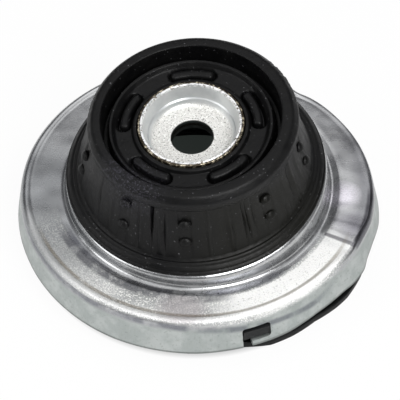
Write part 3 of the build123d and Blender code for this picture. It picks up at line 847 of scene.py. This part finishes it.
def level_ring(r, z, skirt=0.0, wall=0.0):
    """A ring round the bearing's axis on the flange's outline; wall is how far inside it the ring lies."""
    inner = np.clip((r + wall - 50.0) / (FLAT_R - 50.0), 0, 1)
    outer = np.clip((r + wall - FLAT_R) / (SHOULDER_R - FLAT_R), 0, 1)
    edge = shoulder_out * (1 - skirt) + skirt_out * skirt
    out = flat_out * inner * inner * (1 - outer) + edge * outer
    # The crease where the ear starts leans, so its rise is turned a little with the radius.
    slant = np.roll(ear_lift, -int(round((r - 54) * 0.3)))
    lift = (slant - corner_drop * np.clip((r + wall - FLAT_R - 0.6) / 2.6, 0, 1)) * (1 - skirt)
    lift = lift + folds * np.clip((r + wall - 46) / 3, 0, 1) * (1 - outer)
    wave = ripple(angles, ((3, 0.05, 20), (7, 0.03, 75), (11, 0.025, 200))) * inner
    return outward * (r + out)[:, None] + np.stack(
        [np.zeros_like(angles), np.zeros_like(angles), z + lift + wave], axis=-1)


def rings_between(first, last, count):
    """Rings evenly spaced between two, the first one included."""
    return [first + (last - first) * k / count for k in range(count)]


seat_low = SEAT_Z - SHEET
plate_rings = []
plate_rings += rings_between(tower_ring(NECK_R, NECK_TOP), tower_ring(NECK_R, 0.6), 5)
plate_rings += [tower_ring(NECK_R + 0.6 * (1 - math.cos(t)), 0.6 - 0.6 * math.sin(t))
                for t in (0.0, 0.5, 1.1)]
plate_rings += rings_between(tower_ring(NECK_R + 0.6, 0.0), tower_ring(COLLAR_R - 2.0, 0.0), 5)
plate_rings += [tower_ring(COLLAR_R - 2.0 + 2.0 * math.sin(t), -2.0 + 2.0 * math.cos(t))
                for t in (0.0, 0.35, 0.7, 1.05, 1.4)]
plate_rings += rings_between(tower_ring(COLLAR_R, -2.0), foot_ring(COLLAR_R, SEAT_Z, 1.8, 0), 5)
plate_rings += [foot_ring(COLLAR_R, SEAT_Z, 1.8, k / 5) for k in range(6)]
foot = foot_ring(COLLAR_R, SEAT_Z, 1.8, 1.0)
start = level_ring(50.0, SEAT_Z)
plate_rings += rings_between(foot, start, 6)[1:]
for r, z in FLANGE_TOP:
    plate_rings.append(level_ring(r, SEAT_Z + (z * bead_left if z > 0 else z)))
skirt_from, skirt_drop = FLANGE_TOP[-1]
skirt_top = SEAT_Z + skirt_drop
for k in range(1, 12):
    share = k / 12
    plate_rings.append(level_ring(skirt_from + (SKIRT_R - skirt_from) * share,
                                  skirt_top + (SKIRT_BOTTOM + 0.5 - skirt_top) * share, share))
plate_rings += [
    level_ring(SKIRT_R - wall, SKIRT_BOTTOM + up, 1.0, wall)
    for wall, up in ((0.0, 0.4), (0.15, 0.1), (0.45, 0.0), (SHEET - 0.4, 0.0), (SHEET, 0.3))
]
for k in range(1, 6):
    share = k / 6
    plate_rings.append(level_ring(SKIRT_R - SHEET + (58.2 - SKIRT_R + SHEET) * share,
                                  SKIRT_BOTTOM + 0.3 + (seat_low - 1.4 - SKIRT_BOTTOM - 0.3) * share,
                                  1 - share, SHEET))
for r, z in ((58.1, -1.1), (57.6, -0.5), (56.8, 0.0), (52.0, 0.0)):
    plate_rings.append(level_ring(r, seat_low + z, 0.0, 2.0))
under = foot_ring(COLLAR_R - SHEET, seat_low, 0.8, 1.0)
plate_rings += rings_between(level_ring(50.0, seat_low), under, 2)
plate_rings += [foot_ring(COLLAR_R - SHEET, seat_low, 0.8, 1 - k / 3) for k in range(4)]
plate_rings += rings_between(foot_ring(COLLAR_R - SHEET, seat_low, 0.8, 0),
                             tower_ring(COLLAR_R - SHEET, -SHEET), 3)[1:]
plate_rings += rings_between(tower_ring(COLLAR_R - SHEET, -SHEET), tower_ring(NECK_R - SHEET, -SHEET), 4)
plate_rings += rings_between(tower_ring(NECK_R - SHEET, -SHEET), tower_ring(NECK_R - SHEET, NECK_TOP), 5)
plate_rings += [tower_ring(NECK_R - SHEET, NECK_TOP)]
plate_points = np.stack(plate_rings) * MM

flange = mesh_object(
    "flange", plate_points.reshape(-1, 3).tolist(), ring_faces(len(plate_rings), PLATE_COLUMNS),
)


def cutter(name, azimuth, across, width, low, high, corner):
    """A rounded block through the skirt, offset sideways by across, to cut an opening with."""
    outline = rounded_box(width / 2, (high - low) / 2, corner)
    a = math.radians(azimuth)
    vertices = []
    for r in (SKIRT_R - 7, SKIRT_R + 4):
        for s, z in outline:
            s += across
            vertices.append((MM * (r * math.cos(a) - s * math.sin(a)),
                             MM * (r * math.sin(a) + s * math.cos(a)), MM * (z + (low + high) / 2)))
    count = len(outline)
    faces = [list(range(count)), list(range(count, 2 * count))]
    faces += [[k, (k + 1) % count, count + (k + 1) % count, count + k] for k in range(count)]
    return mesh_object(name, vertices, faces)


cutters = []
for turn in range(3):
    azimuth = SLOT_AZIMUTH + 120 * turn
    cutters.append(cutter("slot", azimuth, 0, SLOT_WIDTH, SLOT_BOTTOM, SLOT_TOP, 1.1))
    cutters.append(cutter("notch", azimuth, -(SLOT_WIDTH - NOTCH_WIDTH) / 2, NOTCH_WIDTH,
                          SKIRT_BOTTOM - 4, SLOT_BOTTOM + 2, 0.5))
for block in cutters:
    cut = flange.modifiers.new("cut", "BOOLEAN")
    cut.operation = "DIFFERENCE"
    cut.solver = "MANIFOLD"
    cut.object = block
apply_modifiers(flange)
for block in cutters:
    bpy.data.objects.remove(block)
flange.data.materials.clear()
flange.data.materials.append(zinc)
shade(flange, 40)


# Rubber tower.
def tower_step(p, q):
    """Row spacing along the tower's profile: close over the bowl and the lip, wide elsewhere."""
    r, h = (p + q) / 2
    if h < 14 and r < 40:
        return 6.0
    if r < 27.0:
        return 0.4
    if h > 24:
        return 0.7
    return 1.2


WALL_LOW = (40.1, 4.4)
WALL_HIGH = (34.95, 23.3)
tower_profile = rounded([
    (17.95, 23.6, 0),
    (18.2, 24.9, 0.3),
    (19.4, 24.7, 0.5),
    (20.0, BOWL_TOP, 0.2),
    (25.4, BOWL_TOP + 0.1, 1.0),
    (26.5, 25.3, 0.5),
    (RIDGE_R + 0.1, 25.4, 0.3),
    (RIDGE_R + 0.5, 24.4, 0.4),
    (28.2, 20.5, 0.6),
    (30.0, 20.5, 0.6),
    (TRENCH_R, LIP_TOP - 0.1, 0.5),
    (LIP_R - 1.9, LIP_TOP - 0.1, 2.0),
    (LIP_R, 27.2, 1.6),
    (LIP_R - 0.1, 24.1, 0.5),
    (35.1, 23.7, 0.2),
    (*WALL_HIGH, 0.2),
    (*WALL_LOW, 0.5),
    (40.9, 3.6, 0.3),
    (41.6, 3.75, 0.2),
    (42.0, 3.35, 0.15),
    (42.8, 3.2, 0.4),
    (43.9, 2.3, 0.3),
    (43.8, 1.75, 0.15),
    (BASE_R + 0.3, 1.3, 0.4),
    (BASE_R, 0.02, 0.3),
    (27.42, 0.02, 0),
    (27.42, 13.02, 0),
    (24.98, 13.02, 0),
    (24.98, -2.4, 0.3),
    (22.2, -2.4, 0.6),
    (21.4, 4.6, 3.0),
    (17.6, 10.2, 3.0),
    (12.0, 11.5, 1.5),
    (DUCT_R, 11.6, 0.5),
    (DUCT_R, 13.48, 0),
    (15.02, 13.48, 0),
    (15.25, 15.0, 0),
    (17.95, 19.2, 0.3),
], step=tower_step, arc=4, small=0.45)

# Marks of the mould on the side wall: azimuth, width in degrees, height, from and to.
WALL_MARKS = (
    (-136.0, 1.8, 0.35, 7, 17), (-117.2, 1.6, 0.35, 6, 22), (-119.0, 0.9, -0.35, 6, 22),
    (-107.0, 2.0, 0.45, 6, 22), (-104.6, 0.7, -0.45, 6, 22.5), (-101.0, 4.4, 0.3, 6, 22),
    (-82.0, 1.8, 0.5, 7, 22.5), (-74.0, 2.6, -0.3, 6, 20), (-71.0, 1.4, 0.5, 6, 18),
    (-66.6, 5.6, 0.3, 7, 22), (-63.2, 0.9, -0.5, 6, 22), (-61.3, 0.7, -0.4, 7, 22),
    (-60.0, 1.0, 0.3, 6, 14), (-57.8, 0.8, -0.4, 8, 20), (-39.6, 1.6, 0.4, 10, 17),
    (-34.0, 5.0, 0.25, 8, 22), (-30.2, 0.8, -0.35, 8, 22.5), (-27.4, 2.4, 0.5, 5, 22.5),
    (-20.0, 2.4, 0.25, 8, 22), (-9.0, 2.0, 0.4, 6, 22), (-146.0, 1.2, -0.3, 6, 21),
)
SLIT = -111.3
NUBS = [(azimuth, height) for azimuth in (-94.0, -48.5, -10.0, 30.0, 76.0, 110.0, 155.0, -170.0)
        for height in (18.2, 11.2)] + [(-127.5, 20.3), (-127.5, 11.8)]
# Share by which the mesh's columns crowd together in front, where the marks are finest.
CROWDED = 0.45
wall_slope = (WALL_HIGH[0] - WALL_LOW[0]) / (WALL_HIGH[1] - WALL_LOW[1])


def tower_shape(r, a, h):
    """Moats round the bumps, marks and hollows round the nubs on the wall, and the slit."""
    a = a - CROWDED * np.sin(a + math.pi / 2)
    moved = np.zeros_like(r)
    wall = window(h, 4.4, 23.2, 0.8) * (r > 34) * (h > 4) * (h < 23.6)
    # The marks in front come again, turned, on the wall's back half.
    for shift in (0.0, 140.0, 215.0):
        for azimuth, width, tall, low, high in WALL_MARKS:
            if shift and not -1 < (azimuth + shift + 180) % 360 - 180 < 181:
                continue
            soft = 0.7 if width < 1.5 else 1.3
            across = window(turn_from(a, azimuth + shift), -width / 2, width / 2, soft)
            moved += 1.35 * tall * across * window(h, low - 1, high + 0.5, 2.0) * wall
    slit_width = 0.2 + 0.7 * np.clip((h - 8) / 14, 0, 1)
    slit = window(turn_from(a, SLIT - 0.05 * (6 - np.minimum(h, 6))), -slit_width, slit_width, 0.5)
    deep = 0.5 + 1.4 * np.clip((h - 8) / 8, 0, 1)
    moved -= deep * slit * window(h, 1.0, 23.4, 0.6) * (r > 34) * (h < 23.7)
    for azimuth, height in NUBS:
        near = np.hypot(np.radians(turn_from(a, azimuth)) * 38, h - height + 0.6)
        moved -= 0.9 * window(near, -9, 2.5, 0.9) * wall
    r = r + moved
    # A moat round each bump, with the outline of a longer and wider bump.
    drop = np.zeros_like(r)
    middle = (BUMP_INNER + BUMP_OUTER) / 2
    for k in range(BUMP_COUNT):
        s = np.radians(turn_from(a, BUMP_FIRST + 72 * k)) * middle
        along = np.maximum(np.abs(s) - BUMP_LENGTH / 2 + 1.6, 0)
        across = np.abs(r - middle - 0.25)
        drop += window(np.hypot(along, across), -9.0, 2.3, 1.0)
    h = h - 1.9 * drop * (h > 22.9) * (r < 26.0)
    # The lip lies a little to the right of the tower's axis, and its edge is torn in two places.
    worn = (r > 28) * (r < 36.5) * (h > 20)
    far = np.clip((r - TRENCH_R + 0.2) / (LIP_R - TRENCH_R), 0, 1)
    r = r + worn * (0.3 + 0.5 * far) * np.cos(a - math.radians(10))
    torn = window(turn_from(a, 31), -11, 11, 3) + 0.5 * window(turn_from(a, 169), -6, 6, 3)
    r = r + worn * far * (h > 25) * torn * ripple(a, ((46, 0.09, 0), (83, 0.08, 60), (131, 0.07, 150)))
    return r, a, h


tower = turned("tower", tower_profile, 470, tower_shape, on_tower=True)
tower.data.materials.append(rubber)
shade(tower, 50)

# Kidney bumps: one, copied round the core.
bump_outline = kidney_outline(BUMP_INNER, BUMP_OUTER, BUMP_LENGTH, 1.35)
bump = outline_solid("bump", bump_outline, 19.8, BUMP_TOP, 1.25)
bumps = copies("bowl_bumps", bump, [(0, 0, 0)] * BUMP_COUNT,
               [(0, 0, math.radians(BUMP_FIRST + 72 * k)) for k in range(BUMP_COUNT)], rubber)
bumps.data.transform(TOWER)
shade(bumps, 50)

# Nubs: a drop-shaped stud, copied in pairs down the wall. Its half sizes are 1.7 mm out of the
# wall, 2.1 mm sideways, 1.0 mm below and 1.7 mm above its middle, and it tapers upwards.
made = bmesh.new()
bmesh.ops.create_uvsphere(made, u_segments=24, v_segments=16, radius=1.0)
for v in made.verts:
    x, y, z = v.co
    steep = 0.85 if z < 0 else 1.4
    proud = 1.7 * (1 - 0.45 * max(z, 0))
    v.co = Vector((x * proud, y * 2.1 * (1 - 0.15 * z), z * steep * 1.2)) * MM
nub = edited_object("nub", made)
spots, turns = [], []
for azimuth, height in NUBS:
    out = WALL_LOW[0] + wall_slope * (height - WALL_LOW[1]) - 0.2
    spots.append((out * math.cos(math.radians(azimuth)), out * math.sin(math.radians(azimuth)), height))
    turns.append((0, 0, math.radians(azimuth)))
nubs = copies("wall_nubs", nub, spots, turns, rubber)
nubs.data.transform(TOWER)
shade(nubs, 60)


# Steel core: the cup, and the shell whose rim shows round it.
def worn_rim(top, size, phase):
    """Shape that leaves a turned rim slightly uneven."""
    def shape(r, a, h):
        near_top = np.clip((h - top + 1.2) / 1.2, 0, 1)
        uneven = ripple(a, ((5, 0.3, phase), (13, 0.25, phase * 2), (31, 0.25, phase * 3),
                            (57, 0.35, phase * 5), (83, 0.3, phase * 7)))
        return r + near_top * uneven * size * 0.6, a, h + near_top * uneven * size
    return shape


cup_profile = rounded([
    (ROD_HOLE_R, CORE_FLOOR, 0.25),
    (13.4, CORE_FLOOR, 2.2),
    (14.35, 20.3, 0.5),
    (14.9, 20.6, 0.3),
    (CUP_INNER_R, CUP_RIM, 0.28),
    (CUP_INNER_R + 0.75, CUP_RIM, 0.28),
    (CUP_INNER_R + 0.75, CORE_FLOOR + 1.6, 1.0),
    (14.6, CORE_FLOOR - 1.6, 0.3),
    (ROD_HOLE_R, CORE_FLOOR - 1.6, 0),
], step=1.3, arc=5)
cup = turned("core_cup_skin", cup_profile, 360, worn_rim(CUP_RIM, 0.07, 40), on_tower=True)
cup.data.materials.append(core)
shade(cup, 40)

shell_profile = rounded([
    (ROD_HOLE_R, CORE_FLOOR - 1.62, 0),
    (14.6, CORE_FLOOR - 1.62, 0.3),
    (CUP_INNER_R + 0.82, CORE_FLOOR + 1.6, 0.8),
    (CUP_INNER_R + 0.82, CUP_RIM - 0.2, 0.12),
    (SHELL_R, CUP_RIM - 0.2, 0.3),
    (SHELL_R, CORE_FLOOR + 1.2, 0.8),
    (15.2, CORE_FLOOR - 3.0, 0.3),
    (ROD_HOLE_R, CORE_FLOOR - 3.0, 0),
], step=1.6, arc=4)
shell = turned("core_shell_skin", shell_profile, 360, worn_rim(CUP_RIM, 0.12, 75), on_tower=True)
shell.data.materials.append(shell_steel)
shade(shell, 40)

# Spring pad with the lobe that takes the coil's end.
pad_profile = rounded([
    (PAD_INNER_R, 0, 0.5),
    (PAD_R, 0, 0.7),
    (PAD_R, PAD_T, 0.3),
    (PAD_INNER_R, PAD_T, 0.3),
], step=2.0, arc=4)


# How far the lobe reaches past the pad's circle, by azimuth.
LOBE = (
    (-80, 0.0), (-73, 1.4), (-65, 3.6), (-57, 3.9), (-48, 3.8), (-39, 5.3), (-34, 5.9), (-24, 5.9),
    (-14, 0.0),
)


def pad_shape(r, a, h):
    """Lets the outer edge out to the lobe."""
    reach = np.clip((r - 50) / (PAD_R - 50), 0, 1)
    return r + np.interp(turn_from(a, 0), *np.array(LOBE).T) * reach, a, h


pad = turned("seat_pad", pad_profile, 480, pad_shape)
pad.data.materials.append(pad_rubber)
shade(pad, 40)


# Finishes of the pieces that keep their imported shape.
def finish(names, material):
    """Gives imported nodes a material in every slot."""
    for name in names:
        slots = nodes[name].data.materials
        if not slots:
            slots.append(material)
        for i in range(len(slots)):
            slots[i] = material


finish(["upper_case", "lower_case"], nylon)
finish(["inner_seal", "outer_seal"], pad_rubber)
finish(["upper_race", "lower_race"], race_steel)
finish(["stop_washer"], washer_steel)
finish(["ball_cage"], cage_nylon)
finish([name for name in nodes if name.startswith("ball_") and name != "ball_cage"], ball_steel)

# What each piece rides on and stands for.
for item, body, stands_for, slot in (
    (flange, "mount", "mount_plate", "zinc_plate"),
    (tower, "mount", "rubber_tower", "tower_rubber"),
    (bumps, "mount", "rubber_tower", "tower_rubber"),
    (nubs, "mount", "rubber_tower", "tower_rubber"),
    (cup, "mount", "core_cup", "core_steel"),
    (shell, "mount", "core_shell", "shell_steel"),
    (pad, "seat", "spring_pad", "pad_rubber"),
):
    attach(item, body)
    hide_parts(stands_for)

# Floor: plain white paper. The camera sees it glow white but for a faint shadow; under the part it
# glows a painted dark shade, which shows through the core's hole, and from below it can be looked through.
SHADE_R = 54.0
SHADE_END = 60.0
GLOW_SHARE = 0.95
floor_mesh = bpy.data.meshes.new("floor")
floor_mesh.from_pydata([(-4, -4, 0), (4, -4, 0), (4, 4, 0), (-4, 4, 0)], [], [(0, 1, 2, 3)])
floor = linked("floor", floor_mesh)
floor.location.z = -0.0002
floor_paper = bpy.data.materials.new("white_paper")
floor_paper.use_nodes = True
tree = floor_paper.node_tree
tree.nodes.clear()
path = add(tree, "ShaderNodeLightPath").outputs
paper = add(tree, "ShaderNodeBsdfDiffuse", {"Color": "#F2F2F2"})
ground = add(tree, "ShaderNodeTexCoord").outputs["Object"]
reach = add(tree, "ShaderNodeVectorMath", {0: ground}, operation="LENGTH").outputs["Value"]
beyond = add(tree, "ShaderNodeMapRange", {0: reach, 1: SHADE_R * MM, 2: SHADE_END * MM}).outputs[0]
shade_under = add(tree, "ShaderNodeMix", {0: beyond, 6: "#262A28", 7: "#FFFFFF"}, data_type="RGBA")
glow = add(tree, "ShaderNodeEmission", {"Color": shade_under.outputs[2], "Strength": 1.0})
share = add(tree, "ShaderNodeMath", {0: path["Is Camera Ray"], 1: GLOW_SHARE}, operation="MULTIPLY")
mixed = add(tree, "ShaderNodeMixShader", {0: share.outputs[0], 1: paper.outputs[0], 2: glow.outputs[0]})
below = add(tree, "ShaderNodeNewGeometry").outputs["Backfacing"]
clear = add(tree, "ShaderNodeBsdfTransparent").outputs[0]
mixed = add(tree, "ShaderNodeMixShader", {0: below, 1: mixed.outputs[0], 2: clear})
add(tree, "ShaderNodeOutputMaterial", {"Surface": mixed.outputs[0]})
floor_mesh.materials.append(floor_paper)

# World: soft pale light. The camera sees white; metal mirrors a studio that is white at the floor,
# dark above the horizon and pale grey overhead.
world = bpy.data.worlds.new("studio")
bpy.context.scene.world = world
world.use_nodes = True
tree = world.node_tree
tree.nodes.clear()
path = add(tree, "ShaderNodeLightPath").outputs
seen = add(tree, "ShaderNodeMath", {0: path["Is Camera Ray"], 1: path["Is Transmission Ray"]},
           operation="MAXIMUM")
soft = add(tree, "ShaderNodeBackground", {"Color": "#CCCCCC", "Strength": 0.6})
white = add(tree, "ShaderNodeBackground", {"Color": "#FFFFFF", "Strength": 1.0})
upward = add(tree, "ShaderNodeSeparateXYZ", {0: add(tree, "ShaderNodeTexCoord").outputs["Generated"]})
ramp = add(tree, "ShaderNodeValToRGB", {"Fac": upward.outputs["Z"]})
for place_on, colour in (
    (0.05, "#FFFFFF"), (0.16, "#8C8D8E"), (0.4, "#47484A"), (0.68, "#7E7E82"), (1.0, "#B8B8BA"),
):
    ramp.color_ramp.elements.new(place_on).color = ink(colour)
ramp.color_ramp.elements[0].color = ink("#FFFFFF")
walls = add(tree, "ShaderNodeBackground", {"Color": ramp.outputs["Color"], "Strength": 1.0})
mirrored = add(tree, "ShaderNodeMixShader", {
    0: path["Is Glossy Ray"], 1: soft.outputs[0], 2: walls.outputs[0],
})
mixed = add(tree, "ShaderNodeMixShader", {0: seen.outputs[0], 1: mirrored.outputs[0], 2: white.outputs[0]})
add(tree, "ShaderNodeOutputWorld", {"Surface": mixed.outputs[0]})


def softbox(name, place, aim, size, power, colour="#FFFFFF"):
    """A square studio lamp at a place in metres, turned to a point."""
    data = bpy.data.lights.new(name, "AREA")
    data.shape = "RECTANGLE"
    data.size, data.size_y = size
    data.energy = power
    data.color = ink(colour)[:3]
    lamp = linked(name, data)
    lamp.location = place
    lamp.rotation_euler = (Vector(aim) - Vector(place)).to_track_quat("-Z", "Y").to_euler()


softbox("key_box", (0.35, -0.6, 0.8), (0, 0, 0.02), (0.5, 0.5), 8.0)
softbox("fill_box", (-0.7, -0.2, 0.55), (0, 0, 0.02), (0.5, 0.5), 2.2)
softbox("top_box", (0.0, 0.45, 0.9), (0, 0, 0.02), (0.8, 0.5), 0.9)
